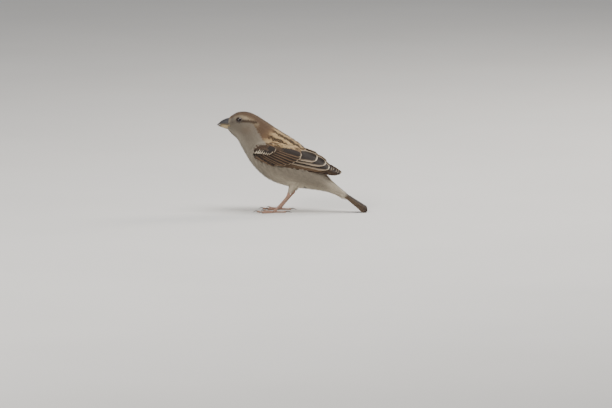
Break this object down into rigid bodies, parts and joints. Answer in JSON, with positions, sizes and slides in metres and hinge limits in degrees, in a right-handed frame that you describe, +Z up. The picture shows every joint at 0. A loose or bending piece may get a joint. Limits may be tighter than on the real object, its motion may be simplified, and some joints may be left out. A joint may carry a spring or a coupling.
{
  "type": "house sparrow",
  "caption": "Life-size adult female house sparrow, standing with its head level, wings folded and tail tip resting on the floor.",
  "frame": {"origin": "on the floor, under the centre of the bird's bounding box", "axes": "+Z up, the bill towards -Y and the tail towards +Y, the bird's left side on +X"},
  "size_m": [0.0392, 0.1268, 0.0834],
  "materials": {
    "plumage": "matt contour feathers: grey-brown above with dark streaks on the back, pale grey-buff below",
    "flight_feathers": "smooth dark brown vanes with buff and whitish edges",
    "upper_bill_horn": "satin dark blue-grey horn",
    "lower_bill_horn": "satin pale yellowish horn, darker at the tip",
    "eye": "wet gloss, near black",
    "leg_skin": "matt scaled skin, pinkish brown",
    "claw_horn": "satin dark horn"
  },
  "bodies": {
    "root": {"head": "plumage", "neck": "plumage", "trunk": "plumage", "tail": "flight_feathers", "bill_upper": "upper_bill_horn", "bill_lower": "lower_bill_horn", "eye_left": "eye", "eye_right": "eye", "wing_left": "flight_feathers", "wing_right": "flight_feathers", "thigh_left": "plumage", "thigh_right": "plumage", "shank_left": "leg_skin", "shank_right": "leg_skin", "toe_inner_left": "leg_skin", "claw_inner_left": "claw_horn", "toe_middle_left": "leg_skin", "claw_middle_left": "claw_horn", "toe_outer_left": "leg_skin", "claw_outer_left": "claw_horn", "toe_hind_left": "leg_skin", "claw_hind_left": "claw_horn", "toe_inner_right": "leg_skin", "claw_inner_right": "claw_horn", "toe_middle_right": "leg_skin", "claw_middle_right": "claw_horn", "toe_outer_right": "leg_skin", "claw_outer_right": "claw_horn", "toe_hind_right": "leg_skin", "claw_hind_right": "claw_horn"}
  },
  "joints": []
}
